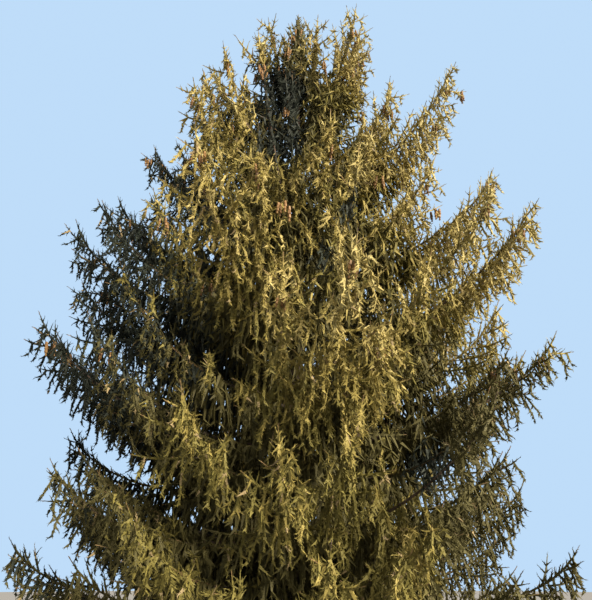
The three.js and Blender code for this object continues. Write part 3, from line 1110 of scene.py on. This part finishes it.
def grow_storey(growth, limb, chance):
    """A storey limb's wood and foliage."""
    line = limb_line(limb)
    growth.wood(line, LIMB_RADIUS_PER_REACH * limb.reach, BOUGH_THIN)
    start = chance.between(*STOREY_BARE) * line.length
    tone = chance.around(BOUGH_TONE)
    hang = SHORTER_HANG * limb.tier.hang
    grow_bough(growth, Bough(line, limb.level, limb.reach, start, STOREY_FULLNESS, hang, tone), chance)


def grow_neck(growth, chance):
    """Small upswept boughs all round the trunk's last stretch."""
    level = len(TIERS) - 1
    for i in range(NECK_BOUGHS):
        u = (i + 0.5) / NECK_BOUGHS
        turn = i * GOLDEN_TURN + chance.around(NECK_TURN)
        point = trunk_centre(TRUNK_HEIGHT - NECK * (1 - u))
        way = upswept(turn, blend(*NECK_PITCHES, u))
        length = blend(*NECK_LENGTHS, u) * chance.between(*LEADER_SCATTER)
        line = grown_line(point, way, length, NECK_STEPS, lambda share: NECK_RISE * share)
        growth.wood(line, NECK_WOOD, TWIG_THIN)
        tone = chance.around(BOUGH_TONE)
        bough = Bough(line, level, NECK_REACH, NECK_BARE, NECK_FULLNESS, NECK_HANG, tone)
        grow_bough(growth, bough, chance)


def grow_whorls(growth, foot, chance):
    """Whorls of upswept shoots on the leader, shorter and steeper towards its top."""
    for whorl in range(LEADER_WHORLS):
        u = whorl / LEADER_WHORLS
        point = foot + UP * (WHORL_FOOT + u * (LEADER_HEIGHT - WHORL_TOP))
        for i in range(LEADER_SHOOTS):
            turned = i + WHORL_TURN * whorl + chance.around(WHORL_SCATTER_TURN)
            way = upswept(turned * math.tau / LEADER_SHOOTS, blend(*WHORL_PITCHES, u))
            length = LEADER_LONGEST * (1 - LEADER_SHORTER * u) * chance.between(*LEADER_SCATTER)
            shoot = grown_line(point, way, length, WHORL_STEPS, lambda share: WHORL_RISE * share)
            tone = chance.around(TWIG_TONE)
            growth.wood(shoot, WHORL_WOOD, TWIG_THIN)
            growth.clothe(shoot, 0, tone, chance)
            frond(growth, shoot, WHORL_FROND_FROM * length, WHORL_FROND_LONGEST, tone, chance)
            if whorl < CONE_WHORLS and chance.draw() < WHORL_CONE_SHARE:
                cone_cluster(growth, shoot.at(WHORL_CONE_PLACE * length), TWIG_CONES, chance)


def grow_leader(growth):
    """The leader above the trunk, with the boughs of its neck and its whorls."""
    chance = Chance(SEED + len(TIERS))
    foot = trunk_centre(TRUNK_HEIGHT)
    stem = Line([foot, foot + UP * LEADER_HEIGHT])
    growth.wood(stem, LEADER_WOOD, BOUGH_THIN)
    growth.clothe(stem, LEADER_CLOTHED_FROM, LEADER_TONE, chance)
    frond(growth, stem, LEADER_FROND, LEADER_FROND_LONGEST, LEADER_FROND_TONE, chance)
    grow_neck(growth, chance)
    grow_whorls(growth, foot, chance)


@cache
def crown():
    """Everything that grows on the limbs, tier by tier, and on the leader last."""
    growths = []
    for level, tier in enumerate(TIERS):
        growth = Growth()
        for limb in limbs_of(tier, level):
            grow_limb(growth, limb)
            if level + 1 < len(TIERS):
                chance = Chance(limb.seed + SEED)
                grow_storey(growth, storey_limb(limb, TIERS[level + 1], chance), chance)
        for number, stray in enumerate(STRAYS):
            if stray.level == level:
                grow_storey(growth, stray_limb(stray, number), Chance(STRAY_SEED + number))
        growths.append(growth)
    leader = Growth()
    grow_leader(leader)
    return growths + [leader]


# Small shapes that are repeated, each with a length of one along +Z


def shape_of(build):
    """The corners and triangles of a small shape that a function builds."""
    bm = bmesh.new()
    build(bm)
    bmesh.ops.triangulate(bm, faces=bm.faces[:])
    bm.verts.ensure_lookup_table()
    corners = np.array([vert.co for vert in bm.verts])
    triangles = np.array([[vert.index for vert in face.verts] for face in bm.faces])
    bm.free()
    return corners, triangles


def needle(bm, foot, way, roll, length, width):
    """One needle: a slim triangle that stands on its foot."""
    turned = Vector((0, 0, 1)).rotation_difference(way).to_matrix().to_4x4()
    upright = Matrix.Rotation(math.radians(90), 4, "X")
    slim = Matrix.Diagonal((width / math.sqrt(3), length / 1.5, 1, 1))
    stand = Matrix.Translation((0, length / 3, 0))
    place = Matrix.Translation(foot) @ turned @ Matrix.Rotation(roll, 4, "Z") @ upright @ stand @ slim
    bmesh.ops.create_circle(bm, cap_ends=True, segments=3, radius=1, matrix=place)


def needles_shape(length, count, seed):
    """The needles of one shoot, in a spiral from its foot to its tip."""
    sizes = settings("shoot")
    chance = Chance(seed)

    def build(bm):
        for i in range(count):
            share = (i + 0.5) / count
            turn = i * GOLDEN_TURN + chance.around(NEEDLE_TURN)
            slant = blend(*NEEDLE_LEANS, share**NEEDLE_LEAN_CURVE) + chance.around(NEEDLE_LEAN_SCATTER)
            lean = math.radians(slant)
            out = Vector((math.cos(turn), math.sin(turn), 0))
            way = out * math.sin(lean) + Vector((0, 0, 1)) * math.cos(lean)
            foot = out * sizes.core * NEEDLE_FOOT * (1 - share) + Vector((0, 0, share * length * LAST_NEEDLE))
            size = sizes.needle * chance.between(*NEEDLE_SIZES)
            needle(bm, foot, way, chance.draw() * math.pi, size, sizes.width)
        bmesh.ops.scale(bm, vec=(1, 1, 1 / length), verts=bm.verts[:])

    return shape_of(build)


def tapered_shape(foot, tip, sides):
    """A straight tapering length: a piece of twig, or the close needles along a shoot."""

    def build(bm):
        middle = Matrix.Translation((0, 0, 0.5))
        bmesh.ops.create_cone(
            bm, cap_ends=False, segments=sides, radius1=foot, radius2=tip, depth=1, matrix=middle
        )

    return shape_of(build)


def cone_shape():
    """A spruce cone: rows of overlapping scales, plump in the middle and blunt at the tip."""
    radius = settings("cone").radius

    def build(bm):
        made = bmesh.ops.create_circle(bm, cap_ends=True, segments=CONE_SIDES, radius=CONE_FOOT * radius)
        edges = ring_edges(made["verts"])
        for row in range(CONE_ROWS):
            share = (row + 0.6) / CONE_ROWS
            plump = radius * math.sin(math.pi * min(0.98, 0.16 + 0.80 * share)) ** 0.6
            for lip, rise in CONE_LIPS:
                verts, edges = extruded(bm, edges)
                for vert in verts:
                    out = vert.co.xy.normalized()
                    vert.co = Vector((*(out * plump * lip), (row + rise) / CONE_ROWS))
                if lip < 1:
                    spiral = Matrix.Rotation(math.pi / CONE_SIDES, 3, "Z")
                    bmesh.ops.rotate(bm, verts=verts, matrix=spiral)
        bmesh.ops.contextual_create(bm, geom=edges)
        bmesh.ops.recalc_face_normals(bm, faces=bm.faces[:])

    return shape_of(build)


def placings(rows):
    """Matrices, kinds and finishes from rows of start, end, width, roll, kind and finish."""
    table = np.array(rows)
    start, end = table[:, 0:3], table[:, 3:6]
    length = np.linalg.norm(end - start, axis=1)
    ahead = (end - start) / length[:, None]
    helper = np.where(np.abs(ahead[:, 2:3]) > 0.9, (1.0, 0.0, 0.0), (0.0, 0.0, 1.0))
    across = np.cross(ahead, helper)
    across /= np.linalg.norm(across, axis=1)[:, None]
    over = np.cross(ahead, across)
    width, c, s = table[:, 6:7], np.cos(table[:, 7:8]), np.sin(table[:, 7:8])
    first = (across * c + over * s) * width
    second = (over * c - across * s) * width
    matrices = np.stack((first, second, ahead * length[:, None]), axis=2)
    return matrices, start, table[:, 8].astype(int), table[:, 9].astype(int)


def joined(name, shapes, rows, materials):
    """One mesh of many copies of a few small shapes."""
    matrices, starts, kinds, finishes = placings(rows)
    points, faces, finish = [], [], []
    first = 0
    for kind, (corners, triangles) in enumerate(shapes):
        chosen = np.flatnonzero(kinds == kind)
        moved = np.einsum("nij,mj->nmi", matrices[chosen], corners) + starts[chosen, None, :]
        offsets = first + np.arange(len(chosen)) * len(corners)
        points.append(moved.reshape(-1, 3))
        faces.append((triangles[None] + offsets[:, None, None]).reshape(-1, 3))
        finish.append(np.repeat(finishes[chosen], len(triangles)))
        first += len(chosen) * len(corners)
    mesh = bpy.data.meshes.new(name)
    mesh.from_pydata(np.concatenate(points), [], np.concatenate(faces))
    for material in materials:
        mesh.materials.append(material)
    mesh.polygons.foreach_set("material_index", np.concatenate(finish).astype(np.int32))
    mesh.update()
    return linked(name, mesh)


def linked(name, mesh):
    """A new object of a mesh, in the scene."""
    obj = bpy.data.objects.new(name, mesh)
    bpy.context.scene.collection.objects.link(obj)
    return obj


def dressed(obj, slot, *nodes):
    """A finished piece: it rides on the tree's one body and stands for the nodes."""
    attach(obj, "root")
    if nodes:
        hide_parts(*nodes)
    return obj


# Bark relief


def bark_height(point, plate):
    """How high bark stands at a point, from 0 in a crack to 1 on a plate."""
    place = Vector((point[0] / plate, point[1] / plate, point[2] / (PLATE_HEIGHT * plate)))
    near, next_near = noise.voronoi(place)[0][:2]
    crack = min(1.0, CRACK_EDGE * (next_near - near))
    return crack * (1 - PLATE_ROUGHNESS + PLATE_ROUGHNESS * noise.noise(place * PLATE_GRAIN))


def ring_edges(verts):
    """The edges of a ring, in the order of its corners."""
    return list(dict.fromkeys(edge for vert in verts for edge in vert.link_edges))


def extruded(bm, edges):
    """Extrudes an open ring of edges, and gives the new ring's corners and edges."""
    grown = bmesh.ops.extrude_edge_only(bm, edges=edges)["geom"]
    verts = [part for part in grown if isinstance(part, bmesh.types.BMVert)]
    inside = set(verts)
    rims = [part for part in grown if isinstance(part, bmesh.types.BMEdge) and inside.issuperset(part.verts)]
    return verts, rims


def ring_matrix(centre, way):
    """The place of a ring of a tube: its middle, with +Z along the way ahead."""
    turned = Vector((0, 0, 1)).rotation_difference(Vector(way)).to_matrix().to_4x4()
    return Matrix.Translation(centre) @ turned


def bark_tube(bm, rings, radius_at, sides):
    """A closed tube whose skin has the bark's relief. A ring is a centre and a way ahead."""
    sizes = settings("trunk")
    relief = bm.verts.layers.float["relief"]
    matrices = [ring_matrix(centre, way) for centre, way in rings]
    made = bmesh.ops.create_circle(bm, cap_ends=True, segments=sides, radius=1, matrix=matrices[0])
    verts = made["verts"]
    edges = ring_edges(verts)
    for step, matrix in enumerate(matrices):
        if step:
            verts, edges = extruded(bm, edges)
            bmesh.ops.transform(bm, matrix=matrix @ matrices[step - 1].inverted(), verts=verts)
        centre = matrix.translation
        for vert in verts:
            out = (vert.co - centre).normalized()
            radius = radius_at(step, out)
            height = bark_height(centre + out * radius, sizes.plate)
            vert.co = centre + out * (radius - (1 - height) * min(sizes.depth, DEEPEST_CRACK * radius))
            vert[relief] = height
    bmesh.ops.contextual_create(bm, geom=edges)


def bark_piece(name, build):
    """A piece of bark tubes that a function builds."""
    bm = bmesh.new()
    bm.verts.layers.float.new("relief")
    build(bm)
    bmesh.ops.recalc_face_normals(bm, faces=bm.faces[:])
    mesh = bpy.data.meshes.new(name)
    bm.to_mesh(mesh)
    bm.free()
    mesh.polygons.foreach_set("use_smooth", [True] * len(mesh.polygons))
    mesh.materials.append(bark_material())
    return linked(name, mesh)


# Materials


def new_material(name):
    """A material with an empty tree but for its shader and its output."""
    material = bpy.data.materials.new(name)
    material.use_nodes = True
    tree = material.node_tree
    tree.nodes.clear()
    output = tree.nodes.new("ShaderNodeOutputMaterial")
    shader = tree.nodes.new("ShaderNodeBsdfPrincipled")
    tree.links.new(shader.outputs["BSDF"], output.inputs["Surface"])
    return material, tree, shader


@cache
def mottle_group():
    """A node group that scatters a value softly over a surface, by object coordinates."""
    group = bpy.data.node_groups.new("Mottle", "ShaderNodeTree")
    for name, default in (("Scale", 20.0), ("Low", 0.0), ("High", 1.0)):
        socket = group.interface.new_socket(name, in_out="INPUT", socket_type="NodeSocketFloat")
        socket.default_value = default
    group.interface.new_socket("Value", in_out="OUTPUT", socket_type="NodeSocketFloat")
    nodes, links = group.nodes, group.links
    entry = nodes.new("NodeGroupInput")
    leave = nodes.new("NodeGroupOutput")
    place = nodes.new("ShaderNodeTexCoord")
    cloud = nodes.new("ShaderNodeTexNoise")
    cloud.inputs["Detail"].default_value = 3
    spread = nodes.new("ShaderNodeMapRange")
    spread.inputs["From Min"].default_value = 0.3
    spread.inputs["From Max"].default_value = 0.7
    links.new(place.outputs["Object"], cloud.inputs["Vector"])
    links.new(entry.outputs["Scale"], cloud.inputs["Scale"])
    links.new(cloud.outputs["Fac"], spread.inputs["Value"])
    links.new(entry.outputs["Low"], spread.inputs["To Min"])
    links.new(entry.outputs["High"], spread.inputs["To Max"])
    links.new(spread.outputs["Result"], leave.inputs["Value"])
    return group


def mottle(tree, scale, low, high):
    """A mottle in a material, with its own scale and range."""
    node = tree.nodes.new("ShaderNodeGroup")
    node.node_tree = mottle_group()
    node.inputs["Scale"].default_value = scale
    node.inputs["Low"].default_value = low
    node.inputs["High"].default_value = high
    return node.outputs["Value"]


def mixed(tree, share, low, high):
    """A colour between two others, by a share that changes over the surface."""
    node = tree.nodes.new("ShaderNodeMix")
    node.data_type = "RGBA"
    node.inputs[6].default_value = (*low, 1)
    node.inputs[7].default_value = (*high, 1)
    tree.links.new(share, node.inputs[0])
    return node.outputs[2]


@cache
def needle_material(tint):
    """Waxy needles of one tint."""
    material, tree, shader = new_material(tint)
    shader.inputs["Base Color"].default_value = (*getattr(settings("colours"), tint), 1)
    shader.inputs["Specular IOR Level"].default_value = 0.25
    tree.links.new(mottle(tree, scale=9.0, low=0.60, high=0.80), shader.inputs["Roughness"])
    return material


@cache
def twig_material(wood):
    """Wood of one colour: tan shoots, or the grey brown of thicker twigs."""
    material, tree, shader = new_material(wood)
    shader.inputs["Base Color"].default_value = (*getattr(settings("colours"), wood), 1)
    tree.links.new(mottle(tree, scale=30.0, low=0.65, high=0.92), shader.inputs["Roughness"])
    return material


@cache
def floor_material():
    """A plain pale floor."""
    material, _, shader = new_material("floor_pale")
    shader.inputs["Base Color"].default_value = (*settings("stage").floor_colour, 1)
    shader.inputs["Roughness"].default_value = 0.95
    shader.inputs["Specular IOR Level"].default_value = 0.1
    return material


@cache
def cone_material():
    """Cones with tan scales and dark gaps."""
    colours = settings("colours")
    material, tree, shader = new_material("cone_scales")
    share = mottle(tree, scale=60.0, low=0.0, high=1.0)
    tree.links.new(mixed(tree, share, colours.cone_gap, colours.cone_scale), shader.inputs["Base Color"])
    shader.inputs["Roughness"].default_value = 0.6
    return material


@cache
def bark_material():
    """Scaly bark: grey brown plates with dark cracks, by the mesh's own relief."""
    colours = settings("colours")
    material, tree, shader = new_material("bark_scaly")
    relief = tree.nodes.new("ShaderNodeAttribute")
    relief.attribute_name = "relief"
    colour = mixed(tree, relief.outputs["Fac"], colours.bark_crack, colours.bark_plate)
    tree.links.new(colour, shader.inputs["Base Color"])
    tree.links.new(mottle(tree, scale=25.0, low=0.8, high=0.97), shader.inputs["Roughness"])
    bump = tree.nodes.new("ShaderNodeBump")
    bump.inputs["Distance"].default_value = 0.004
    tree.links.new(mottle(tree, scale=120.0, low=0.0, high=1.0), bump.inputs["Height"])
    tree.links.new(bump.outputs["Normal"], shader.inputs["Normal"])
    return material


# Operators, one for each group of pieces


def foliage_nodes(level):
    """The names of the masses of one tier, or of the leader."""
    if level == len(TIERS):
        return ["leader_foliage"]
    return [f"foliage_{level + 1}_{i + 1}" for i in range(TIERS[level].count)]


def tier_name(kind, level):
    """A piece's name, by its kind and its tier."""
    return f"{kind}_leader" if level == len(TIERS) else f"{kind}_tier_{level + 1}"


class SPRUCE_OT_trunk(bpy.types.Operator):
    """Make the trunk with its flare and its scaly bark"""

    bl_idname = "spruce.trunk"
    bl_label = "Trunk"

    def execute(self, context):
        sizes = settings("trunk")
        heights = np.linspace(0, TRUNK_HEIGHT, round(TRUNK_HEIGHT / sizes.ring) + 1)
        rings = [(trunk_centre(z), UP) for z in heights]

        def radius_at(step, out):
            return trunk_radius(heights[step], math.atan2(out.y, out.x))

        piece = bark_piece("trunk_bark", lambda bm: bark_tube(bm, rings, radius_at, sizes.sides))
        dressed(piece, "bark", "trunk")
        return {"FINISHED"}


class SPRUCE_OT_boughs(bpy.types.Operator):
    """Make every bough as one tapering limb, from the trunk to its tip"""

    bl_idname = "spruce.boughs"
    bl_label = "Boughs"

    def bough(self, bm, limb):
        """One bough."""
        line = limb_line(limb)
        count = round(line.length / BOUGH_RING)
        runs = np.linspace(0, line.length, count + 1)
        rings = [(line.at(run), line.way(run)) for run in runs]
        foot = LIMB_RADIUS_PER_REACH * limb.tier.reach
        grown = line.length - END_RUN

        def radius_at(step, out):
            share = min(1, runs[step] / grown)
            beyond = max(0, runs[step] - grown) / END_RUN
            return blend(foot, LIMB_TIP_RADIUS, share) * (1 - BOUGH_END_THINNER * beyond)

        bark_tube(bm, rings, radius_at, BOUGH_SIDES)

    def execute(self, context):
        for level, tier in enumerate(TIERS):

            def build(bm, level=level, tier=tier):
                for limb in limbs_of(tier, level):
                    self.bough(bm, limb)

            piece = bark_piece(tier_name("boughs", level), build)
            nodes = [f"bough_{level + 1}_{i + 1}" for i in range(tier.count)] if level < BARE_TIERS else []
            dressed(piece, "bark", *nodes)
        return {"FINISHED"}


class SPRUCE_OT_twigs(bpy.types.Operator):
    """Grow the twigs, and the shoots that carry the needles"""

    bl_idname = "spruce.twigs"
    bl_label = "Twigs"

    def execute(self, context):
        shapes = [tapered_shape(1, WOOD_TAPER, WOOD_SIDES)]
        materials = [twig_material("twig_young"), twig_material("twig_old")]
        for level, growth in enumerate(crown()):
            dressed(joined(tier_name("twigs", level), shapes, growth.twigs, materials), "twig")
        return {"FINISHED"}


class SPRUCE_OT_needles(bpy.types.Operator):
    """Grow the needles of every tier"""

    bl_idname = "spruce.needles"
    bl_label = "Needles"

    def execute(self, context):
        sizes = settings("shoot")
        short = sizes.length * SHORT_SHARE
        count = round(sizes.count * SHORT_SHARE)
        shapes = [needles_shape(sizes.length, sizes.count, SEED + kind) for kind in LONG_KINDS]
        shapes += [needles_shape(short, count, SEED + kind) for kind in SHORT_KINDS]
        shapes.append(needles_shape(sizes.length, SPARSE_NEEDLES, SEED))
        shapes.append(tapered_shape(sizes.core, CORE_TAPER * sizes.core, CORE_SIDES))
        shapes.append(tapered_shape(END_CORE * sizes.core, 0, CORE_SIDES))
        materials = [needle_material(tint) for tint in TINTS]
        for level, growth in enumerate(crown()):
            piece = joined(tier_name("needles", level), shapes, growth.shoots, materials)
            dressed(piece, "needles", *foliage_nodes(level))
        return {"FINISHED"}


class SPRUCE_OT_cones(bpy.types.Operator):
    """Hang the cones"""

    bl_idname = "spruce.cones"
    bl_label = "Cones"

    def execute(self, context):
        rows = [row for growth in crown() for row in growth.cones]
        dressed(joined("cones", [cone_shape()], rows, [cone_material()]), "cone")
        return {"FINISHED"}


class SPRUCE_OT_stage(bpy.types.Operator):
    """Set the camera, the light and the floor"""

    bl_idname = "spruce.stage"
    bl_label = "Stage"

    def eye(self, scene, sizes):
        """The camera, where the photograph was taken from."""
        camera = bpy.data.cameras.new("eye")
        camera.lens = sizes.lens
        camera.sensor_width = SENSOR_WIDTH
        camera.clip_end = FARTHEST_SEEN
        eye = linked("eye", camera)
        eye.location = (0, -sizes.distance, sizes.eye_height)
        eye.rotation_euler = (math.radians(90) + sizes.look_up, 0, 0)
        scene.camera = eye

    def key(self, sizes):
        """The low warm light from one side."""
        key = bpy.data.lights.new("key", "SUN")
        key.energy = sizes.key
        key.color = sizes.key_colour
        key.angle = sizes.key_angle
        lamp = linked("key", key)
        lamp.rotation_euler = Vector(sizes.key_side).to_track_quat("Z", "Y").to_euler()

    def fill(self, scene, sizes):
        """The light from all round, with a plain backdrop that only the camera sees."""
        world = bpy.data.worlds.new("studio")
        world.use_nodes = True
        nodes, links = world.node_tree.nodes, world.node_tree.links
        fill = nodes["Background"]
        fill.inputs["Color"].default_value = (*sizes.fill_colour, 1)
        fill.inputs["Strength"].default_value = sizes.fill
        seen = nodes.new("ShaderNodeBackground")
        seen.inputs["Color"].default_value = (*sizes.backdrop, 1)
        ray = nodes.new("ShaderNodeLightPath")
        either = nodes.new("ShaderNodeMixShader")
        links.new(ray.outputs["Is Camera Ray"], either.inputs[0])
        links.new(fill.outputs[0], either.inputs[1])
        links.new(seen.outputs[0], either.inputs[2])
        links.new(either.outputs[0], nodes["World Output"].inputs["Surface"])
        scene.world = world

    def floor(self, sizes):
        """The plain floor, a little below the trunk's flat cut."""
        bm = bmesh.new()
        bmesh.ops.create_circle(bm, cap_ends=True, segments=FLOOR_SIDES, radius=sizes.floor)
        bmesh.ops.translate(bm, vec=(0, 0, -FLOOR_GAP), verts=bm.verts[:])
        mesh = bpy.data.meshes.new("floor")
        bm.to_mesh(mesh)
        bm.free()
        mesh.materials.append(floor_material())
        linked("floor", mesh)

    def execute(self, context):
        sizes = settings("stage")
        context.scene.view_settings.view_transform = "Standard"
        self.eye(context.scene, sizes)
        self.key(sizes)
        self.fill(context.scene, sizes)
        self.floor(sizes)
        return {"FINISHED"}


PIECES = (
    SPRUCE_OT_trunk,
    SPRUCE_OT_boughs,
    SPRUCE_OT_twigs,
    SPRUCE_OT_needles,
    SPRUCE_OT_cones,
    SPRUCE_OT_stage,
)


class SPRUCE_PT_panel(bpy.types.Panel):
    """The spruce's sizes and pieces"""

    bl_idname = "SPRUCE_PT_panel"
    bl_label = "Norway Spruce"
    bl_space_type = "VIEW_3D"
    bl_region_type = "UI"
    bl_category = "Spruce"

    def draw(self, context):
        for piece in PIECES:
            self.layout.operator(piece.bl_idname)
        for name, group in GROUPS.items():
            box = self.layout.box()
            box.label(text=group.__doc__)
            for field in group.__annotations__:
                box.prop(getattr(context.scene, name), field)


def register():
    """Registers the settings, the operators and the panel."""
    for name, group in GROUPS.items():
        bpy.utils.register_class(group)
        setattr(bpy.types.Scene, name, PointerProperty(type=group))
    for piece in (*PIECES, SPRUCE_PT_panel):
        bpy.utils.register_class(piece)


def unregister():
    """Takes back what register made."""
    for piece in reversed((*PIECES, SPRUCE_PT_panel)):
        bpy.utils.unregister_class(piece)
    for name, group in reversed(GROUPS.items()):
        delattr(bpy.types.Scene, name)
        bpy.utils.unregister_class(group)


def corners(box):
    """A box as plain lists of numbers."""
    return [[float(number) for number in corner] for corner in box]


def main():
    """Makes every piece in order."""
    register()
    bpy.ops.spruce.trunk()
    bpy.ops.spruce.boughs()
    bpy.ops.spruce.twigs()
    bpy.ops.spruce.needles()
    bpy.ops.spruce.cones()
    bpy.ops.spruce.stage()


if __name__ == "__main__":
    main()
